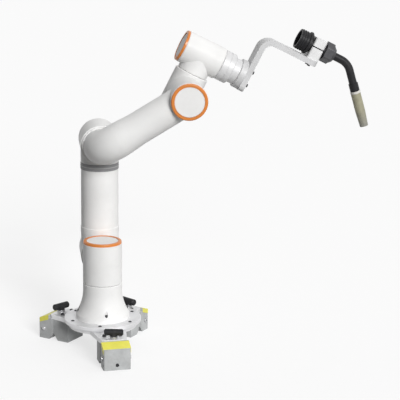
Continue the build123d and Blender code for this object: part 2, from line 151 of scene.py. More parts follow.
class NodeSheet:
    """A node tree under construction, for a material, a world or a node group."""

    # Where a mix node keeps its factor, its two colours and the mixed colour
    MIX_FACTOR, MIX_FIRST, MIX_SECOND, MIX_RESULT = 0, 6, 7, 2

    def __init__(self, tree: NodeTree) -> None:
        """Takes the tree that the nodes go into."""
        self.tree = tree

    @classmethod
    def on(cls, owner: Material | World) -> "NodeSheet":
        """Empties the node tree of a material or a world.

        Args:
            owner: The material or the world.

        Returns:
            A sheet for its tree.
        """
        owner.use_nodes = True
        owner.node_tree.nodes.clear()
        return cls(owner.node_tree)

    def add(self, kind: str, settings: dict[str, object] | None = None,
            slots: dict[int, object] | None = None, **inputs: object) -> Node:
        """Adds a node and fills its inputs.

        Args:
            kind: The node's type name.
            settings: Attributes of the node to set first.
            slots: Values or sockets by input index, for inputs that share a name.
            inputs: Values or sockets by input name, with spaces as underscores.

        Returns:
            The new node.
        """
        node = self.tree.nodes.new(kind)
        for name, value in (settings or {}).items():
            setattr(node, name, value)
        for index, value in (slots or {}).items():
            self.feed(node.inputs[index], value)
        for name, value in inputs.items():
            self.feed(node.inputs[name.replace("_", " ")], value)
        return node

    def feed(self, socket: NodeSocket, value: object) -> None:
        """Fills one input.

        Args:
            socket: The input.
            value: A socket to link into it, or the value that it takes itself.
        """
        if isinstance(value, NodeSocket):
            self.tree.links.new(value, socket)
        else:
            socket.default_value = value

    def math(self, operation: str, first: object, second: object) -> NodeSocket:
        """Works on two values or sockets and returns the result."""
        return self.add("ShaderNodeMath", {"operation": operation}, {0: first, 1: second}).outputs[0]

    def spread(self, value: NodeSocket, span: Span, start: float, end: float) -> NodeSocket:
        """Stretches a span of a value over start to end, clamped, and returns the result."""
        return self.add("ShaderNodeMapRange", slots=dict(enumerate((value, *span, start, end)))).outputs[0]

    def mix(self, share: NodeSocket, first: object, second: object) -> NodeSocket:
        """Mixes two colours by the second one's share and returns the mixed colour."""
        slots = {self.MIX_FACTOR: share, self.MIX_FIRST: first, self.MIX_SECOND: second}
        return self.add("ShaderNodeMix", {"data_type": "RGBA"}, slots).outputs[self.MIX_RESULT]

    def noise(self, place: NodeSocket, scale: NodeSocket, **others: float) -> NodeSocket:
        """Adds a noise and returns its value."""
        return self.add("ShaderNodeTexNoise", Vector=place, Scale=scale, **others).outputs[0]


class GroupSheet(NodeSheet):
    """A node group under construction, with named inputs and outputs."""

    def __init__(self, name: str, kind: str, inputs: Sockets, outputs: Sockets) -> None:
        """Opens the group.

        Args:
            name: The group's name.
            kind: The type name of its tree.
            inputs: Kinds of socket by input name.
            outputs: Kinds of socket by output name.
        """
        super().__init__(bpy.data.node_groups.new(name, kind))
        for direction, sockets in (("INPUT", inputs), ("OUTPUT", outputs)):
            for label, socket in sockets.items():
                self.tree.interface.new_socket(name=label, in_out=direction, socket_type=socket.value)
        self.given = self.add("NodeGroupInput").outputs
        self.end = self.add("NodeGroupOutput")

    def close(self, **outputs: NodeSocket) -> NodeTree:
        """Feeds the group's outputs.

        Args:
            outputs: Sockets by output name.

        Returns:
            The finished group.
        """
        for label, socket in outputs.items():
            self.feed(self.end.inputs[label], socket)
        return self.tree


class SurfaceLibrary:
    """The shared shader node groups, each built once."""

    MOTTLE_SPAN = (0.32, 0.68)
    SLOW_GRAIN_SHARE = 0.12
    PATCH_SPAN = (0.48, 0.72)
    SPECK_SPAN = (0.38, 0.66)
    SPECK_FLOOR = 0.25
    SPECK_FINENESS = 9.0

    def __init__(self) -> None:
        """Starts with no group built."""
        self._built: dict[Surface, NodeTree] = {}
        self._makers = {
            Surface.MOTTLE: self._mottle,
            Surface.GRAIN: self._grain,
            Surface.SMUDGE: self._smudge,
            Surface.TOOL_MARKS: self._tool_marks,
            Surface.TURNING: self._turning,
        }

    def lay(self, sheet: NodeSheet, kind: Surface, **inputs: object) -> Node:
        """Places a group in a material, building the group on first use.

        Args:
            sheet: The material's sheet.
            kind: The group to place.
            inputs: Values or sockets by the group's input names.

        Returns:
            The group's node.
        """
        if kind not in self._built:
            self._built[kind] = self._makers[kind]()
        return sheet.add("ShaderNodeGroup", {"node_tree": self._built[kind]}, **inputs)

    @staticmethod
    def _open(kind: Surface, outputs: Sockets, **inputs: Socket) -> GroupSheet:
        """Opens a group whose first input is the place on the surface."""
        return GroupSheet(kind.value, "ShaderNodeTree", {"Vector": Socket.VECTOR, **inputs}, outputs)

    def _mottle(self) -> NodeTree:
        """Builds slow changes of shade over a painted or moulded surface.

        Returns:
            The group, which puts out the shaded colour and how far it swings.
        """
        sheet = self._open(Surface.MOTTLE, {"Colour": Socket.COLOUR, "Variation": Socket.FLOAT},
                           Colour=Socket.COLOUR, Amount=Socket.FLOAT, Scale=Socket.FLOAT)
        given = sheet.given
        noise = sheet.noise(given["Vector"], given["Scale"], Detail=4.0, Roughness=0.55)
        swing = sheet.spread(noise, self.MOTTLE_SPAN, -1.0, 1.0)
        factor = sheet.math("ADD", sheet.math("MULTIPLY", swing, given["Amount"]), 1.0)
        tinted = sheet.add("ShaderNodeVectorMath", {"operation": "SCALE"}, {0: given["Colour"]}, Scale=factor)
        return sheet.close(Colour=tinted.outputs[0], Variation=swing)

    def _grain(self) -> NodeTree:
        """Builds the fine skin of paint, plastic or cast metal.

        Returns:
            The group, which puts out a height.
        """
        sheet = self._open(Surface.GRAIN, {"Height": Socket.FLOAT}, Scale=Socket.FLOAT)
        place, scale = sheet.given["Vector"], sheet.given["Scale"]
        fine = sheet.noise(place, scale, Detail=2.0)
        slow = sheet.noise(place, sheet.math("MULTIPLY", scale, self.SLOW_GRAIN_SHARE), Detail=1.0)
        return sheet.close(Height=sheet.math("ADD", fine, slow))

    def _smudge(self) -> NodeTree:
        """Builds soft patches of handling dirt and dust.

        Returns:
            The group, which puts out a mask.
        """
        sheet = self._open(Surface.SMUDGE, {"Mask": Socket.FLOAT}, Scale=Socket.FLOAT, Share=Socket.FLOAT)
        place, scale = sheet.given["Vector"], sheet.given["Scale"]
        patch = sheet.noise(place, scale, Detail=5.0, Distortion=0.6)
        speck = sheet.noise(place, sheet.math("MULTIPLY", scale, self.SPECK_FINENESS), Detail=3.0)
        patches = sheet.spread(patch, self.PATCH_SPAN, 0.0, 1.0)
        specks = sheet.spread(speck, self.SPECK_SPAN, self.SPECK_FLOOR, 1.0)
        soiled = sheet.math("MULTIPLY", patches, specks)
        return sheet.close(Mask=sheet.math("MULTIPLY", soiled, sheet.given["Share"]))

    def _tool_marks(self) -> NodeTree:
        """Builds the fine parallel lines of a milled or brushed face.

        Returns:
            The group, which puts out a height.
        """
        sheet = self._open(Surface.TOOL_MARKS, {"Height": Socket.FLOAT}, Stretch=Socket.VECTOR,
                           Scale=Socket.FLOAT)
        given = sheet.given
        drawn = sheet.add("ShaderNodeVectorMath", {"operation": "MULTIPLY"},
                          {0: given["Vector"], 1: given["Stretch"]})
        return sheet.close(Height=sheet.noise(drawn.outputs[0], given["Scale"], Detail=3.0))

    def _turning(self) -> NodeTree:
        """Builds the rings that a lathe leaves round the local Z axis.

        Returns:
            The group, which puts out a height.
        """
        sheet = self._open(Surface.TURNING, {"Height": Socket.FLOAT}, Pitch=Socket.FLOAT)
        split = sheet.add("ShaderNodeSeparateXYZ", Vector=sheet.given["Vector"]).outputs
        flat = sheet.add("ShaderNodeCombineXYZ", X=split["X"], Y=split["Y"])
        radius = sheet.add("ShaderNodeVectorMath", {"operation": "LENGTH"}, {0: flat.outputs[0]})
        path = sheet.math("ADD", radius.outputs["Value"], split["Z"])
        density = sheet.math("DIVIDE", 1.0, sheet.given["Pitch"])
        rings = sheet.add("ShaderNodeTexNoise", {"noise_dimensions": "1D"}, W=path, Scale=density, Detail=2.0)
        return sheet.close(Height=rings.outputs[0])


SURFACES = SurfaceLibrary()


@dataclass(frozen=True)
class Finish:
    """A surface as its maker would order it; the base of every finish."""

    label: str
    colour: Colour
    roughness: float
    metallic: float = 0.0
    coat: float = 0.0
    gloss: float = 0.5
    mottle: float = 0.03
    mottle_scale: float = 14.0
    rough_swing: float = 0.05
    relief: float = 0.04
    relief_scale: float = 1400.0
    soil: Colour = (0.30, 0.28, 0.25)
    soil_share: float = 0.12
    soil_scale: float = 16.0

    SOIL_DULLING = 0.3
    RELIEF_DEPTH = 0.4 * MM

    def material(self) -> Material:
        """Finds the finish's material, building it on first use.

        Returns:
            The material.
        """
        made = bpy.data.materials.get(self.label)
        if made is None:
            made = bpy.data.materials.new(self.label)
            self._lay(NodeSheet.on(made))
            made.diffuse_color = opaque(self.colour)
        return made

    def _lay(self, sheet: NodeSheet) -> None:
        """Lays the finish's nodes, from the coordinates to the shader.

        Args:
            sheet: The material's sheet.
        """
        place = sheet.add("ShaderNodeTexCoord").outputs["Object"]
        mottle = SURFACES.lay(sheet, Surface.MOTTLE, Vector=place, Colour=self._base(sheet, place),
                              Amount=self.mottle, Scale=self.mottle_scale)
        smudge = SURFACES.lay(sheet, Surface.SMUDGE, Vector=place, Scale=self.soil_scale,
                              Share=self.soil_share)
        mask = smudge.outputs["Mask"]
        swing = sheet.math("MULTIPLY", mottle.outputs["Variation"], self.rough_swing)
        dull = sheet.math("MULTIPLY", mask, self.SOIL_DULLING)
        bump = sheet.add("ShaderNodeBump", Strength=self.relief, Distance=self.RELIEF_DEPTH,
                         Height=self._height(sheet, place))
        shader = sheet.add(
            "ShaderNodeBsdfPrincipled",
            Base_Color=sheet.mix(mask, mottle.outputs["Colour"], opaque(self.soil)),
            Roughness=sheet.math("ADD", sheet.math("ADD", swing, dull), self.roughness),
            Metallic=self.metallic,
            Specular_IOR_Level=self.gloss,
            Coat_Weight=self.coat,
            Normal=bump.outputs[0],
        )
        sheet.add("ShaderNodeOutputMaterial", Surface=shader.outputs[0])

    def _base(self, sheet: NodeSheet, place: NodeSocket) -> object:
        """Returns the clean colour; one colour all over unless a finish says otherwise."""
        return opaque(self.colour)

    def _height(self, sheet: NodeSheet, place: NodeSocket) -> NodeSocket:
        """Returns the surface's relief; the skin of paint or plastic unless a finish says otherwise."""
        return SURFACES.lay(sheet, Surface.GRAIN, Vector=place, Scale=self.relief_scale).outputs["Height"]


@dataclass(frozen=True)
class MilledFinish(Finish):
    """Bare metal with the parallel lines of a mill or a brush."""

    stretch: Triple = (1.0, 12.0, 12.0)

    def _height(self, sheet: NodeSheet, place: NodeSocket) -> NodeSocket:
        """Returns the lines' relief."""
        marks = SURFACES.lay(sheet, Surface.TOOL_MARKS, Vector=place, Stretch=self.stretch,
                             Scale=self.relief_scale)
        return marks.outputs["Height"]


@dataclass(frozen=True)
class TurnedFinish(Finish):
    """Metal turned on a lathe, with rings round its own axis."""

    centre: Triple = (0.0, 0.0, 0.0)
    tilt: Triple = (0.0, 0.0, 0.0)
    pitch: float = 1.2 * MM

    def _axis_place(self, sheet: NodeSheet, place: NodeSocket) -> NodeSocket:
        """Returns the coordinates with the piece's axis along Z and its centre at the origin."""
        return sheet.add("ShaderNodeMapping", {"vector_type": "TEXTURE"}, Vector=place, Location=self.centre,
                         Rotation=self.tilt).outputs[0]

    def _height(self, sheet: NodeSheet, place: NodeSocket) -> NodeSocket:
        """Returns the rings' relief."""
        turned = self._axis_place(sheet, place)
        return SURFACES.lay(sheet, Surface.TURNING, Vector=turned, Pitch=self.pitch).outputs["Height"]


@dataclass(frozen=True)
class HeatedFinish(TurnedFinish):
    """Turned metal that the arc has dulled towards its mouth."""

    dulled: Colour = (0.30, 0.27, 0.22)
    dull_span: Span = (0.0, 50.0 * MM)

    def _base(self, sheet: NodeSheet, place: NodeSocket) -> object:
        """Lays the colour, which goes from clean to dulled along the axis.

        Args:
            sheet: The material's sheet.
            place: The coordinates.

        Returns:
            The colour's socket.
        """
        split = sheet.add("ShaderNodeSeparateXYZ", Vector=self._axis_place(sheet, place))
        share = sheet.spread(split.outputs["Z"], self.dull_span, 0.0, 1.0)
        return sheet.mix(share, opaque(self.colour), opaque(self.dulled))


# Paints, plastics and rubber
ARM_PAINT = Finish("arm_paint", (0.84, 0.837, 0.827), 0.42, coat=0.03, gloss=0.14, relief=0.06,
                   soil=(0.42, 0.41, 0.39), soil_share=0.10)
CAP_PLASTIC = Finish("cap_plastic", (0.87, 0.865, 0.855), 0.46, gloss=0.08, relief=0.03,
                     soil=(0.45, 0.44, 0.42), soil_share=0.08)
ORANGE_PLASTIC = Finish("orange_plastic", (0.70, 0.22, 0.035), 0.34, mottle=0.05, soil=(0.32, 0.14, 0.05))
RING_PLASTIC = Finish("ring_plastic", (0.27, 0.27, 0.275), 0.50, gloss=0.3, mottle=0.06, relief=0.08,
                      soil=(0.36, 0.35, 0.33))
BEAD_PLASTIC = Finish("bead_plastic", (0.46, 0.46, 0.46), 0.46, gloss=0.3, mottle=0.05)
MAGNET_PAINT = Finish("magnet_paint", (0.49, 0.50, 0.50), 0.50, mottle=0.11, mottle_scale=48.0, relief=0.14,
                      relief_scale=700.0, soil=(0.24, 0.23, 0.21), soil_share=0.34, soil_scale=34.0)
LABEL_VINYL = Finish("label_vinyl", (0.82, 0.77, 0.11), 0.42, mottle=0.06, soil=(0.35, 0.33, 0.12),
                     soil_share=0.25, soil_scale=40.0)
GRIP_PLASTIC = Finish("grip_plastic", (0.018, 0.018, 0.020), 0.48, gloss=0.2, mottle=0.12, relief=0.12,
                      relief_scale=900.0, soil=(0.12, 0.11, 0.10), soil_share=0.22, soil_scale=40.0)
TORCH_PLASTIC = Finish("torch_plastic", (0.018, 0.018, 0.020), 0.46, gloss=0.18, mottle=0.12, relief=0.10,
                       relief_scale=900.0, soil=(0.13, 0.12, 0.11), soil_share=0.20, soil_scale=36.0)
SEAL_RUBBER = Finish("seal_rubber", (0.045, 0.045, 0.048), 0.62, mottle=0.10, relief=0.08)
CERAMIC = Finish("ceramic", (0.72, 0.70, 0.65), 0.42, mottle=0.05, soil=(0.28, 0.25, 0.20), soil_share=0.30,
                 soil_scale=60.0)

# Metals
PLATE_METAL = MilledFinish("plate_metal", (0.74, 0.74, 0.75), 0.38, metallic=0.55, mottle=0.05, relief=0.12,
                           relief_scale=420.0, soil_share=0.18, soil_scale=24.0)
BRACKET_METAL = MilledFinish("bracket_metal", (0.64, 0.64, 0.645), 0.46, metallic=0.05, gloss=0.3,
                             mottle=0.05, relief=0.12, relief_scale=420.0, soil_share=0.16, soil_scale=26.0)
CLAMP_METAL = MilledFinish("clamp_metal", (0.80, 0.80, 0.80), 0.42, metallic=0.1, gloss=0.3, mottle=0.05,
                           relief=0.12, relief_scale=420.0, soil_share=0.16, soil_scale=26.0)
# Partly the flange's own satin metal and partly painted shade: its grey is kept darker than the white arm to
# stand in for the shade under the tool end.
FLANGE_METAL_AND_SHADE = MilledFinish("flange_metal_and_painted_shade", (0.70, 0.70, 0.705), 0.44, metallic=0.1, gloss=0.3, mottle=0.04,
                            relief=0.10, relief_scale=420.0, soil_share=0.14, soil_scale=26.0)
SHAFT_STEEL = TurnedFinish("turned_steel", (0.46, 0.46, 0.47), 0.36, metallic=0.9, relief=0.10,
                           soil_share=0.15)
SCREW_STEEL = Finish("screw_steel", (0.030, 0.030, 0.033), 0.42, metallic=0.2, gloss=0.35, mottle=0.10,
                     mottle_scale=60.0, soil=(0.16, 0.15, 0.14), soil_share=0.2, soil_scale=80.0)
NUT_STEEL = Finish("nut_steel", (0.065, 0.065, 0.070), 0.40, metallic=0.5, mottle=0.12, relief=0.08,
                   soil=(0.20, 0.19, 0.18), soil_share=0.22, soil_scale=50.0)
BOLT_ZINC = Finish("bolt_zinc", (0.50, 0.50, 0.51), 0.40, metallic=0.8, mottle=0.08, mottle_scale=60.0,
                   soil_share=0.3, soil_scale=80.0)
TIP_COPPER = Finish("worn_copper", (0.55, 0.27, 0.15), 0.36, metallic=1.0, mottle=0.10, mottle_scale=120.0,
                    soil=(0.16, 0.11, 0.08), soil_share=0.35, soil_scale=90.0)
NOZZLE_BRASS = HeatedFinish("heated_brass", (0.34, 0.325, 0.225), 0.46, metallic=0.15, mottle=0.10,
                            mottle_scale=70.0, relief=0.16, soil=(0.20, 0.17, 0.12), soil_share=0.35,
                            soil_scale=70.0, dulled=(0.27, 0.265, 0.24), dull_span=(-25.0 * MM, 30.0 * MM))

SLOT_FINISHES: dict[str, Finish] = {
    "arm_white": ARM_PAINT,
    "cap_white": CAP_PLASTIC,
    "joint_orange": ORANGE_PLASTIC,
    "ring_grey": RING_PLASTIC,
    "magnet_grey": MAGNET_PAINT,
    "plate_aluminium": PLATE_METAL,
    "shaft_steel": SHAFT_STEEL,
    "grip_black": GRIP_PLASTIC,
    "bracket_aluminium": BRACKET_METAL,
    "torch_black": TORCH_PLASTIC,
    "nut_grey": NUT_STEEL,
    "insulator_white": CERAMIC,
    "tip_copper": TIP_COPPER,
}


@dataclass(frozen=True)
class Seat:
    """The body that a piece rides on and the record's slot that it belongs to."""

    body: str
    slot: str


STAND_SCREWS = Seat("stand", "shaft_steel")
TOOL_SCREWS = Seat("tool", "bracket_aluminium")


@dataclass
class Spot:
    """Where one repeated shape sits and which way its axis looks."""

    place: Vector
    axis: Vector


def points_of(node: str) -> list[Vector]:
    """Returns the corners of a solid's mesh, in the shared frame."""
    return [vertex.co.copy() for vertex in frame["nodes"][node].data.vertices]


def centre_of(node: str) -> Vector:
    """Returns the mean of a solid's corners, which lies on the axis of a turned one."""
    corners = {tuple(round(value, SAME_PLACE_DIGITS) for value in point): point for point in points_of(node)}
    return sum(corners.values(), Vector()) / len(corners)


def joint_row(name: str) -> dict:
    """Returns what the frame says of a joint."""
    return next(item for item in frame["joints"] if item["name"] == name)


def joint_data(name: str) -> tuple[Vector, Vector]:
    """Returns a joint's place and axis."""
    joint = joint_row(name)
    return Vector(joint["pos_m"]), Vector(joint["axis"]).normalized()


def foot_axes(foot: Foot) -> tuple[Vector, Vector, Vector]:
    """Reads a foot's own directions from its switch.

    Args:
        foot: The foot.

    Returns:
        The way from the stand's axis to the switch, and the unit directions outwards and across.
    """
    place, _ = joint_data("switch_" + foot.value)
    reach = Vector((place.x, place.y, 0.0))
    outward = reach.normalized()
    return reach, outward, UP.cross(outward)


def ring_spots(count: int, radius: float, level: float, start: float) -> list[Spot]:
    """Spreads upright screws evenly round the stand's axis.

    Args:
        count: How many there are.
        radius: The radius of their circle.
        level: The level of their seats.
        start: The angle of the first one.

    Returns:
        Their spots.
    """
    turns = [start + tau * index / count for index in range(count)]
    return [Spot(Vector((radius * cos(turn), radius * sin(turn), level)), UP) for turn in turns]


def axis_frame(origin: Vector, axis: Vector, across: Vector) -> Matrix:
    """Builds a frame with Z along an axis.

    Args:
        origin: The frame's origin.
        axis: The direction of its Z axis.
        across: A direction that its X axis leans to.

    Returns:
        The frame as a matrix.
    """
    z_axis = axis.normalized()
    y_axis = z_axis.cross(across).normalized()
    x_axis = y_axis.cross(z_axis)
    turn = Matrix((x_axis, y_axis, z_axis)).transposed()
    return Matrix.Translation(origin) @ turn.to_4x4()


def skin_rows(mesh: bmesh.types.BMesh, rows: Sequence[Sequence[bmesh.types.BMVert]]) -> None:
    """Joins each row of corners to the next one with faces; every row closes on itself.

    Args:
        mesh: The mesh that takes the faces.
        rows: Its corners, in rows of the same length.
    """
    for row, beyond in zip(rows, rows[1:]):
        for index in range(len(row)):
            following = (index + 1) % len(row)
            mesh.faces.new((row[index], row[following], beyond[following], beyond[index]))


def close_mesh(name: str, mesh: bmesh.types.BMesh) -> Mesh:
    """Merges doubles, turns the faces outwards and shades the mesh.

    Args:
        name: The mesh's name.
        mesh: The mesh under construction, which is freed.

    Returns:
        The finished mesh.
    """
    bmesh.ops.remove_doubles(mesh, verts=mesh.verts, dist=SAME_PLACE)
    bmesh.ops.recalc_face_normals(mesh, faces=mesh.faces)
    done = bpy.data.meshes.new(name)
    mesh.to_mesh(done)
    mesh.free()
    done.shade_smooth()
    done.set_sharp_from_angle(angle=SHARP_ANGLE)
    return done


def set_piece(name: str, mesh: Mesh, seat: Seat, finish: Finish) -> None:
    """Adds a finished mesh to the scene, riding on a body.

    Args:
        name: The piece's name.
        mesh: Its mesh, with its place in its points.
        seat: The body that it rides on.
        finish: Its finish.
    """
    piece = bpy.data.objects.new(name, mesh)
    bpy.context.scene.collection.objects.link(piece)
    if not mesh.materials:
        mesh.materials.append(finish.material())
    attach(piece, seat.body)
    LOG.info("piece %s rides on %s", name, seat.body)


class SpotTree(GroupSheet):
    """A geometry node tree that sets one shape on each point of a carrier, along the point's axis."""

    AXIS_NAME = "spot_axis"

    def __init__(self, name: str, sizes: Sockets) -> None:
        """Opens the tree.

        Args:
            name: The tree's name.
            sizes: Kinds of socket by the names of the shape's sizes.
        """
        inputs = {"Geometry": Socket.GEOMETRY, **sizes, "Material": Socket.MATERIAL}
        super().__init__(name, "GeometryNodeTree", inputs, {"Geometry": Socket.GEOMETRY})

    def post(self, sides: int, radius: NodeSocket, height: NodeSocket, middle: NodeSocket) -> NodeSocket:
        """Stands a post on the shape's axis.

        Args:
            sides: How many sides it has.
            radius: Its radius.
            height: Its height.
            middle: The level of its middle.

        Returns:
            The post's mesh.
        """
        post = self.add("GeometryNodeMeshCylinder", Vertices=sides, Radius=radius, Depth=height)
        lift = self.add("ShaderNodeCombineXYZ", Z=middle)
        raised = self.add("GeometryNodeTransform", Geometry=post.outputs["Mesh"], Translation=lift.outputs[0])
        return raised.outputs[0]

    def set_out(self, shape: NodeSocket, spin: NodeSocket | None = None) -> NodeTree:
        """Sets the shape on the points and ends the tree with real meshes and their material.

        Args:
            shape: The shape's mesh, with its axis along Z.
            spin: A turn of each copy about its own axis.

        Returns:
            The finished tree.
        """
        axis = self.add("GeometryNodeInputNamedAttribute", {"data_type": "FLOAT_VECTOR"}, Name=self.AXIS_NAME)
        turn = self.add("FunctionNodeAlignRotationToVector", {"axis": "Z"}, Vector=axis.outputs[0])
        if spin is not None:
            turn = self.add("FunctionNodeRotateRotation", {"rotation_space": "LOCAL"},
                            Rotation=turn.outputs[0], Rotate_By=spin)
        placed = self.add("GeometryNodeInstanceOnPoints", Points=self.given["Geometry"], Instance=shape,
                          Rotation=turn.outputs[0])
        real = self.add("GeometryNodeRealizeInstances", Geometry=placed.outputs[0])
        coated = self.add("GeometryNodeSetMaterial", Geometry=real.outputs[0],
                          Material=self.given["Material"])
        return self.close(Geometry=coated.outputs[0])


def grow(name: str, spots: Iterable[Spot], tree: NodeTree, values: dict[str, object]) -> Mesh:
    """Runs a node tree on loose points and keeps the result as a plain mesh.

    Args:
        name: The result's name.
        spots: Where the points lie and which way they look.
        tree: The node tree.
        values: Values by input name.

    Returns:
        The plain mesh.
    """
    places = list(spots)
    points = bpy.data.meshes.new(name + "_spots")
    points.from_pydata([spot.place for spot in places], [], [])
    axes = points.attributes.new(SpotTree.AXIS_NAME, "FLOAT_VECTOR", "POINT")
    for item, spot in zip(axes.data, places):
        item.vector = spot.axis
    carrier = bpy.data.objects.new(name + "_carrier", points)
    bpy.context.scene.collection.objects.link(carrier)
    modifier = carrier.modifiers.new("grow", "NODES")
    modifier.node_group = tree
    sockets = {item.name: item.identifier for item in tree.interface.items_tree
               if item.item_type == "SOCKET" and item.in_out == "INPUT"}
    for label, value in values.items():
        modifier[sockets[label]] = value
    graph = bpy.context.evaluated_depsgraph_get()
    graph.update()
    result = bpy.data.meshes.new_from_object(carrier.evaluated_get(graph), depsgraph=graph)
    result.name = name
    carrier.modifiers.remove(modifier)
    bpy.data.objects.remove(carrier)
    return result


@dataclass
class ScrewSet:
    """Socket-head screws of one size on one body, set by a node tree at their spots."""

    name: str
    seat: Seat
    head_radius: float
    head_height: float
    seed: int
    finish: Finish = SCREW_STEEL
    socket_share: float = 0.55
    socket_depth_share: float = 0.7
    chamfer_share: float = 0.16

    HEAD_SIDES = 24
    SOCKET_SIDES = 6
    # A face looks up when the Z of its normal is above this
    UPWARD = 0.9
    # Where a random value node puts its float out
    RANDOM_FLOAT = 1

    def build(self, spots: Iterable[Spot]) -> None:
        """Builds the screws.

        Args:
            spots: Where they sit.
        """
        values = {
            "Head Radius": self.head_radius,
            "Head Height": self.head_height,
            "Socket Radius": self.head_radius * self.socket_share,
            "Socket Depth": self.head_height * self.socket_depth_share,
            "Chamfer": self.head_radius * self.chamfer_share,
            "Seed": int(self.seed),
            "Material": self.finish.material(),
        }
        set_piece(self.name, grow(self.name, spots, self.tree(), values), self.seat, self.finish)

    @classmethod
    @cache
    def tree(cls) -> NodeTree:
        """Builds the node tree that all the screws share, once.

        Returns:
            The tree.
        """
        sheet = SpotTree("socket_screws", {
            "Head Radius": Socket.FLOAT, "Head Height": Socket.FLOAT, "Socket Radius": Socket.FLOAT,
            "Socket Depth": Socket.FLOAT, "Chamfer": Socket.FLOAT, "Seed": Socket.INT,
        })
        given = sheet.given
        barrel_height = sheet.math("SUBTRACT", given["Head Height"], given["Chamfer"])
        barrel_middle = sheet.math("MULTIPLY", barrel_height, 0.5)
        barrel = sheet.post(cls.HEAD_SIDES, given["Head Radius"], barrel_height, barrel_middle)
        normal = sheet.add("ShaderNodeSeparateXYZ", Vector=sheet.add("GeometryNodeInputNormal").outputs[0])
        top = sheet.math("GREATER_THAN", normal.outputs["Z"], cls.UPWARD)
        crown = sheet.add("GeometryNodeExtrudeMesh", {"mode": "FACES"}, Mesh=barrel, Selection=top,
                          Offset_Scale=given["Chamfer"])
        narrow = sheet.math("SUBTRACT", 1.0, sheet.math("DIVIDE", given["Chamfer"], given["Head Radius"]))
        head = sheet.add("GeometryNodeScaleElements", {"domain": "FACE"}, Geometry=crown.outputs["Mesh"],
                         Selection=crown.outputs["Top"], Scale=narrow)
        cutter_height = sheet.math("MULTIPLY", given["Socket Depth"], 2.0)
        cutter = sheet.post(cls.SOCKET_SIDES, given["Socket Radius"], cutter_height, given["Head Height"])
        screw = sheet.add("GeometryNodeMeshBoolean", {"operation": "DIFFERENCE"},
                          {0: head.outputs[0], 1: cutter})
        chance = sheet.add("FunctionNodeRandomValue", {"data_type": "FLOAT"}, Seed=given["Seed"])
        angle = sheet.math("MULTIPLY", chance.outputs[cls.RANDOM_FLOAT], tau)
        spin = sheet.add("FunctionNodeAxisAngleToRotation", Angle=angle)
        return sheet.set_out(screw.outputs[0], spin.outputs[0])


@dataclass
class RibSet:
    """Round ribs on a turned piece, set along its axis by a node tree."""

    name: str
    seat: Seat
    finish: Finish
    radius: float
    thickness: float
    count: int = 1
    spacing: float = 0.0

    RING_STEPS = 64
    SECTION_STEPS = 12

    def build(self, place: Vector, axis: Vector) -> None:
        """Builds the ribs.

        Args:
            place: The middle of the first rib.
            axis: The unit direction that the others follow in.
        """
        spots = [Spot(place + axis * self.spacing * index, axis) for index in range(self.count)]
        values = {"Radius": self.radius, "Thickness": self.thickness, "Material": self.finish.material()}
        mesh = grow(self.name, spots, self.tree(), values)
        mesh.shade_smooth()
        set_piece(self.name, mesh, self.seat, self.finish)

    @classmethod
    @cache
    def tree(cls) -> NodeTree:
        """Builds the node tree that all the ribs share, once.

        Returns:
            The tree.
        """
        sheet = SpotTree("round_ribs", {"Radius": Socket.FLOAT, "Thickness": Socket.FLOAT})
        ring = sheet.add("GeometryNodeCurvePrimitiveCircle", Resolution=cls.RING_STEPS,
                         Radius=sheet.given["Radius"])
        section = sheet.add("GeometryNodeCurvePrimitiveCircle", Resolution=cls.SECTION_STEPS,
                            Radius=sheet.given["Thickness"])
        rib = sheet.add("GeometryNodeCurveToMesh", Curve=ring.outputs["Curve"],
                        Profile_Curve=section.outputs["Curve"])
        return sheet.set_out(rib.outputs[0])


class Solids:
    """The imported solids, which keep their shape and take their finishes here."""

    def __init__(self) -> None:
        """Reads which slot each solid belongs to."""
        self.slots = {item["node"]: item["material_slot"] for item in frame["record"]["subparts"]}

    def dress(self) -> None:
        """Gives every solid its own finish, or else the finish of its slot."""
        own_finishes = {
            "nozzle": self.nozzle_finish(),
            # The flange's greyer finish is partly its metal and partly painted shade for its shaded
            # underside.
            "wrist_three_flange": FLANGE_METAL_AND_SHADE,
            "clamp_upper": CLAMP_METAL,
            "clamp_lower": CLAMP_METAL,
        }
        for foot in Foot:
            shaft = "switch_shaft_" + foot.value
            own_finishes[shaft] = replace(SHAFT_STEEL, label=shaft, centre=tuple(centre_of(shaft)))
        for node, slot in self.slots.items():
            self.paint(node, own_finishes.get(node) or SLOT_FINISHES[slot])

    def nozzle_finish(self) -> Finish:
        """Lines the nozzle's finish up with the nozzle.

        Returns:
            The finish.
        """
        middle = centre_of("nozzle")
        along = middle - centre_of("nozzle_insulator")
        tilt = along.to_track_quat("Z", "Y").to_euler()
        return replace(NOZZLE_BRASS, centre=tuple(middle), tilt=tuple(tilt))

    def paint(self, node: str, finish: Finish) -> None:
        """Puts a finish on a solid.

        Args:
            node: The solid's name.
            finish: The finish.
        """
        materials = frame["nodes"][node].data.materials
        materials.clear()
        materials.append(finish.material())
        LOG.info("solid %s wears %s", node, finish.label)


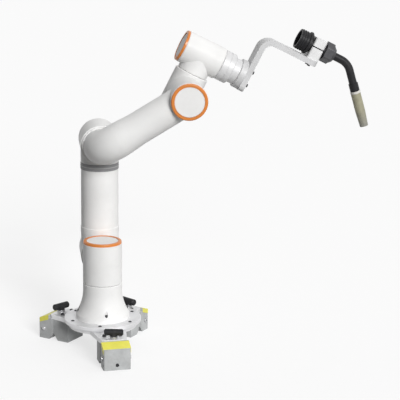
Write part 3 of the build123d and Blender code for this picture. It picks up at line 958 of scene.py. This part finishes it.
@dataclass
class JointSeals:
    """The dark seals that show in the thin gaps between one drive and the next."""

    recess: float = 2.2 * MM
    width: float = 4.0 * MM
    gap: float = 0.6 * MM
    play: float = 0.05 * MM
    facets: int = 72

    RADII = {
        ArmJoint.BASE: 48.0 * MM,
        ArmJoint.SHOULDER: 47.0 * MM,
        ArmJoint.ELBOW: 46.0 * MM,
        ArmJoint.WRIST: 41.0 * MM,
        ArmJoint.WRIST_TURN: 38.5 * MM,
        ArmJoint.TOOL: 38.5 * MM,
    }
    AGAINST_AXIS = (ArmJoint.ELBOW, ArmJoint.WRIST)
    # A direction that none of the joint axes lies along
    LEAN = Vector((0.37, 0.81, 0.45))

    def build(self) -> None:
        """Builds one seal for each drive joint, on the joint's parent."""
        for joint, radius in self.RADII.items():
            place, axis = joint_data(joint.value)
            outward = -axis if joint in self.AGAINST_AXIS else axis
            self.ring(joint, radius - self.recess, axis_frame(place, outward, self.LEAN))

    def ring(self, joint: ArmJoint, outer: float, face: Matrix) -> None:
        """Builds one seal.

        Args:
            joint: The joint that it closes.
            outer: Its outer radius.
            face: The frame of the joint's face.
        """
        inner = outer - self.width
        low, high = self.play, self.gap - self.play
        turns = [tau * index / self.facets for index in range(self.facets)]
        mesh = bmesh.new()
        rings = [[mesh.verts.new(face @ Vector((radius * cos(turn), radius * sin(turn), height)))
                  for turn in turns]
                 for radius, height in ((inner, low), (outer, low), (outer, high), (inner, high))]
        skin_rows(mesh, rings + rings[:1])
        name = "seal_" + joint.value
        seat = Seat(joint_row(joint.value)["parent"], "ring_grey")
        set_piece(name, close_mesh(name, mesh), seat, SEAL_RUBBER)


@dataclass
class StandPlates:
    """The screws of the star plate, of the disc on it and of the arm's base flange."""

    star_screw_radius: float = 4.6 * MM
    star_screw_height: float = 4.4 * MM
    star_screw_stand_in: float = 18.0 * MM
    star_screw_side: float = 20.0 * MM
    disc_screw_count: int = 6
    disc_screw_circle: float = 81.0 * MM
    disc_screw_angle: float = radians(22.0)
    disc_screw_radius: float = 4.2 * MM
    disc_screw_height: float = 1.2 * MM
    flange_screw_count: int = 4
    flange_screw_circle: float = 59.5 * MM
    flange_screw_angle: float = radians(-85.0)
    flange_screw_floor: float = 8.0 * MM
    flange_screw_radius: float = 3.4 * MM
    flange_screw_height: float = 13.0 * MM
    flange_socket_depth_share: float = 0.25

    def build(self) -> None:
        """Sets the three groups of screws."""
        self.star_screws()
        self.disc_screws()
        self.flange_screws()

    def star_screws(self) -> None:
        """Sets two screws in each arm of the star plate, on the inner side of its switch."""
        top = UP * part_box("star_plate")[1].z
        spots = []
        for foot in Foot:
            reach, outward, across = foot_axes(foot)
            middle = reach - outward * self.star_screw_stand_in
            spots += [Spot(middle + across * side * self.star_screw_side + top, UP) for side in SIDES]
        star = ScrewSet("star_screws", STAND_SCREWS, self.star_screw_radius, self.star_screw_height,
                        Seed.STAR)
        star.build(spots)

    def disc_screws(self) -> None:
        """Sets the flat screws on the disc, outside the arm's base flange."""
        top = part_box("adapter_disc")[1].z
        disc = ScrewSet("disc_screws", STAND_SCREWS, self.disc_screw_radius, self.disc_screw_height,
                        Seed.DISC)
        disc.build(ring_spots(self.disc_screw_count, self.disc_screw_circle, top, self.disc_screw_angle))

    def flange_screws(self) -> None:
        """Sets the screws in the pockets of the arm's base flange."""
        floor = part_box("base_housing")[0].z + self.flange_screw_floor
        flange = ScrewSet("flange_screws", STAND_SCREWS, self.flange_screw_radius, self.flange_screw_height,
                          Seed.FLANGE, socket_depth_share=self.flange_socket_depth_share)
        flange.build(ring_spots(self.flange_screw_count, self.flange_screw_circle, floor,
                                self.flange_screw_angle))


@dataclass
class MagnetFoot:
    """One switchable magnet block: its bare yellow plate and its screws."""

    foot: Foot
    seed: int
    plate_thickness: float = 0.8 * MM
    plate_play: float = 0.05 * MM
    plate_margin: float = 3.5 * MM
    plate_flap: float = 11.0 * MM
    face_screw_level: float = 13.0 * MM
    face_screw_radius: float = 4.2 * MM
    face_screw_height: float = 1.6 * MM
    side_bolt_level: float = 26.0 * MM
    side_bolt_inset: float = 16.0 * MM
    side_bolt_radius: float = 5.0 * MM
    side_bolt_height: float = 3.4 * MM

    # One seed for the face screw and one for the side bolts
    SEEDS = 2

    def __post_init__(self) -> None:
        """Measures the block along its own directions."""
        _, self.outward, self.across = foot_axes(self.foot)
        self.points = points_of("magnet_" + self.foot.value)
        self.end = max(point.dot(self.outward) for point in self.points)
        self.half_width = max(point.dot(self.across) for point in self.points)

    def at(self, reach: float, side: float, level: float) -> Vector:
        """Returns the point at a reach, a sideways distance and a level."""
        return self.outward * reach + self.across * side + UP * level

    def build(self) -> None:
        """Builds the plate on the nose and the screws."""
        self.plate()
        self.screws()

    def plate(self) -> None:
        """Builds the yellow plate, which lies on the nose and folds down over its sides."""
        crest = max(point.z for point in self.points)
        brow = max(point.z for point in self.points if point.dot(self.outward) > self.end - SAME_LEVEL)
        ridge = max(point.dot(self.outward) for point in self.points if point.z > crest - SAME_LEVEL)
        inward = Vector((self.end - ridge, brow - crest)).normalized() * self.plate_margin
        ends = (Vector((ridge, crest)) + inward, Vector((self.end, brow)) - inward)
        inner = self.half_width + self.plate_play
        outer = self.half_width + self.plate_thickness
        low, high, flap = self.plate_play, self.plate_thickness, -self.plate_flap
        section = (
            (-outer, flap), (-outer, high), (outer, high), (outer, flap),
            (inner, flap), (inner, low), (-inner, low), (-inner, flap),
        )
        mesh = bmesh.new()
        rows = [[mesh.verts.new(self.at(end.x, side, end.y + lift)) for side, lift in section]
                for end in ends]
        skin_rows(mesh, rows)
        for row in rows:
            mesh.faces.new(row)
        name = "plate_" + self.foot.value
        set_piece(name, close_mesh(name, mesh), Seat("stand", "magnet_grey"), LABEL_VINYL)

    def screws(self) -> None:
        """Sets the screw of the front face and the bolts of the two sides."""
        face = ScrewSet("face_screw_" + self.foot.value, STAND_SCREWS, self.face_screw_radius,
                        self.face_screw_height, self.seed)
        face.build([Spot(self.at(self.end, 0.0, self.face_screw_level), self.outward)])
        bolts = ScrewSet("side_bolts_" + self.foot.value, STAND_SCREWS, self.side_bolt_radius,
                         self.side_bolt_height, self.seed + 1, finish=BOLT_ZINC)
        reach = self.end - self.side_bolt_inset
        bolts.build(Spot(self.at(reach, side * self.half_width, self.side_bolt_level), self.across * side)
                    for side in SIDES)


@dataclass
class UpperArmRing:
    """The pale bead that parts the grey ring under the elbow into two bands."""

    bead: float = 1.1 * MM
    sunk: float = 0.5 * MM

    def build(self) -> None:
        """Sets the bead round the middle of the ring."""
        low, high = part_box("upper_arm_upper_ring")
        radius = (high.x - low.x) / 2.0 - self.sunk
        bead = RibSet("ring_bead", Seat("upper_arm", "arm_white"), BEAD_PLASTIC, radius, self.bead)
        bead.build((low + high) / 2.0, UP)


@dataclass
class ToolDressing:
    """The screws of the bracket and of the torch clamp, and the ribs of the collar at the torch's back."""

    foot_depth: float = 20.0 * MM
    foot_screw_spread: float = 17.5 * MM
    foot_screw_radius: float = 4.4 * MM
    foot_screw_height: float = 4.6 * MM
    clamp_screw_side: float = 19.5 * MM
    clamp_screw_radius: float = 3.7 * MM
    clamp_screw_height: float = 4.4 * MM
    clamp_pocket_depth: float = 5.0 * MM
    nose_screw_side: float = 14.0 * MM
    mouth_depth: float = 0.5 * MM
    rib_count: int = 3
    rib_thickness: float = 1.3 * MM
    rib_spacing: float = 6.0 * MM
    rib_stand_in: float = 5.0 * MM

    def __post_init__(self) -> None:
        """Finds the tool's own directions from its two last joints."""
        self.origin, self.out = joint_data(ArmJoint.TOOL.value)
        _, self.up = joint_data(ArmJoint.WRIST_TURN.value)
        self.side = self.up.cross(self.out).normalized()

    def at(self, out: float, up: float, side: float) -> Vector:
        """Returns the point at three distances from the tool joint."""
        return self.origin + self.out * out + self.up * up + self.side * side

    def corners(self, node: str) -> list[Vector]:
        """Returns a solid's corners as distances from the tool joint: out, up and to the side."""
        steps = [point - self.origin for point in points_of(node)]
        return [Vector((step.dot(self.out), step.dot(self.up), step.dot(self.side))) for step in steps]

    def build(self) -> None:
        """Sets the screws and the ribs."""
        self.bracket_screws()
        self.clamp_screws()
        self.collar_ribs()

    def bracket_screws(self) -> None:
        """Sets four screws through the bracket's foot into the adapter."""
        adapter_face = max(corner.x for corner in self.corners("tool_adapter"))
        face = adapter_face + self.bracket_thickness()
        spread = self.foot_screw_spread
        foot = ScrewSet("bracket_screws", TOOL_SCREWS, self.foot_screw_radius, self.foot_screw_height,
                        Seed.BRACKET)
        foot.build(Spot(self.at(face, up * spread, side * spread), self.out)
                   for up in SIDES for side in SIDES)

    def bracket_thickness(self) -> float:
        """Measures the bracket's foot.

        Returns:
            The thickness of its plate.
        """
        corners = self.corners("torch_bracket")
        lowest = min(corner.y for corner in corners)
        foot = [corner.x for corner in corners if corner.y < lowest + self.foot_depth]
        return max(foot) - min(foot)

    def clamp_screws(self) -> None:
        """Sets two screws in the clamp's pockets and two under the bracket's nose."""
        clamp = self.corners("clamp_upper")
        reaches = [corner.x for corner in clamp]
        middle = (min(reaches) + max(reaches)) / 2.0
        floor = max(corner.y for corner in clamp) - self.clamp_pocket_depth
        under = min(corner.y for corner in self.corners("clamp_lower")) - self.bracket_thickness()
        pairs = (
            ("clamp_screws", floor, self.clamp_screw_side, self.up, Seed.CLAMP),
            ("nose_screws", under, self.nose_screw_side, -self.up, Seed.NOSE),
        )
        for name, level, reach, axis, seed in pairs:
            screws = ScrewSet(name, TOOL_SCREWS, self.clamp_screw_radius, self.clamp_screw_height, seed)
            screws.build(Spot(self.at(middle, level, side * reach), axis) for side in SIDES)

    def collar_ribs(self) -> None:
        """Sets the ribs round the open socket of the collar at the torch's back."""
        axis_level = (centre_of("torch_body") - self.origin).dot(self.up)
        collar = self.corners("hose_collar")
        mouth = min(corner.x for corner in collar)
        radius = max(corner.z for corner in collar if corner.x < mouth + self.mouth_depth)
        ribs = RibSet("socket_ribs", Seat("tool", "torch_black"), TORCH_PLASTIC, radius, self.rib_thickness,
                      self.rib_count, self.rib_spacing)
        ribs.build(self.at(mouth + self.rib_stand_in, axis_level, 0.0), self.out)


@dataclass
class Studio:
    """The floor, the light and the camera."""

    camera_place: Triple = (-0.231, -3.701, 1.287)
    yaw: float = radians(7.245)
    pitch: float = radians(-13.860)
    roll: float = radians(0.675)
    lens: float = 141.15
    far_clip: float = 200.0
    floor_half: float = 40.0
    floor_bounce: float = 0.30
    floor_shade: float = 0.34
    floor_lift: float = 0.67
    sun_from: Triple = (0.30, -0.87, 0.44)
    sun_strength: float = 2.8
    sun_spread: float = radians(22.0)
    sky_side: Triple = (0.50, 0.72, 0.48)
    sky_span: Span = (-0.3, 0.9)
    sky_dark: float = 0.02
    sky_bright: float = 0.85

    def build(self) -> None:
        """Sets up the whole studio."""
        bpy.context.scene.view_settings.view_transform = "Standard"
        self.floor()
        self.key_light()
        self.sky()
        self.camera()

    def floor(self) -> None:
        """Lays the plain pale floor, which looks near white and keeps the shadow."""
        mesh = bpy.data.meshes.new("floor")
        half = self.floor_half
        corners = [(-half, -half, 0.0), (half, -half, 0.0), (half, half, 0.0), (-half, half, 0.0)]
        mesh.from_pydata(corners, [], [tuple(range(len(corners)))])
        floor = bpy.data.objects.new("floor", mesh)
        bpy.context.scene.collection.objects.link(floor)
        material = bpy.data.materials.new("pale_floor")
        mesh.materials.append(material)
        sheet = NodeSheet.on(material)
        bounce = sheet.add("ShaderNodeBsdfDiffuse", Color=grey(self.floor_bounce))
        shade = sheet.add("ShaderNodeBsdfDiffuse", Color=grey(self.floor_shade))
        lift = sheet.add("ShaderNodeEmission", Color=grey(1.0), Strength=self.floor_lift)
        pale = sheet.add("ShaderNodeAddShader", slots={0: shade.outputs[0], 1: lift.outputs[0]})
        mixed = self.by_ray(sheet, bounce, pale)
        sheet.add("ShaderNodeOutputMaterial", Surface=mixed)

    def key_light(self) -> None:
        """Sets one large soft lamp."""
        sun = bpy.data.lights.new("key_light", "SUN")
        sun.energy = self.sun_strength
        sun.angle = self.sun_spread
        lamp = bpy.data.objects.new("key_light", sun)
        lamp.rotation_euler = Vector(self.sun_from).to_track_quat("Z", "Y").to_euler()
        bpy.context.scene.collection.objects.link(lamp)

    def sky(self) -> None:
        """Sets a sky that lights the object mostly from one side and looks white."""
        world = bpy.data.worlds.new("studio_sky")
        bpy.context.scene.world = world
        sheet = NodeSheet.on(world)
        direction = sheet.add("ShaderNodeTexCoord").outputs["Generated"]
        towards = sheet.add("ShaderNodeVectorMath", {"operation": "DOT_PRODUCT"},
                            {0: direction, 1: self.sky_side})
        level = sheet.spread(towards.outputs["Value"], self.sky_span, self.sky_dark, self.sky_bright)
        light = sheet.add("ShaderNodeBackground", Color=grey(1.0), Strength=level)
        white = sheet.add("ShaderNodeBackground", Color=grey(1.0), Strength=1.0)
        mixed = self.by_ray(sheet, light, white)
        sheet.add("ShaderNodeOutputWorld", Surface=mixed)

    @staticmethod
    def by_ray(sheet: NodeSheet, lighting: Node, looks: Node) -> NodeSocket:
        """Parts what lights the object from what a viewer sees directly, mirrored or through glass.

        Args:
            sheet: The sheet of the floor or of the sky.
            lighting: The shader for rays that carry light.
            looks: The shader for rays that a viewer sees.

        Returns:
            The mixed shader.
        """
        path = sheet.add("ShaderNodeLightPath").outputs
        direct = sheet.math("MAXIMUM", path["Is Camera Ray"], path["Is Glossy Ray"])
        seen = sheet.math("MAXIMUM", direct, path["Is Transmission Ray"])
        shaders = {0: seen, 1: lighting.outputs[0], 2: looks.outputs[0]}
        return sheet.add("ShaderNodeMixShader", slots=shaders).outputs[0]

    def camera(self) -> None:
        """Places the camera at the photograph's angle."""
        forward = Vector((sin(self.yaw) * cos(self.pitch), cos(self.yaw) * cos(self.pitch), sin(self.pitch)))
        level = Vector((cos(self.yaw), -sin(self.yaw), 0.0))
        above = level.cross(forward)
        right = level * cos(self.roll) + above * sin(self.roll)
        up = above * cos(self.roll) - level * sin(self.roll)
        data = bpy.data.cameras.new("camera")
        data.lens = self.lens
        data.clip_end = self.far_clip
        eye = bpy.data.objects.new("camera", data)
        turn = Matrix((right, up, -forward)).transposed()
        eye.matrix_world = Matrix.Translation(self.camera_place) @ turn.to_4x4()
        bpy.context.scene.collection.objects.link(eye)
        bpy.context.scene.camera = eye


def main() -> None:
    """Dresses the arm from the stand to the torch, then sets up the studio."""
    logging.basicConfig(level=logging.INFO, format="%(name)s: %(message)s")
    Solids().dress()
    JointSeals().build()
    StandPlates().build()
    for index, foot in enumerate(Foot):
        MagnetFoot(foot, seed=Seed.FIRST_FOOT + MagnetFoot.SEEDS * index).build()
    UpperArmRing().build()
    ToolDressing().build()
    Studio().build()


if __name__ == "__main__":
    main()
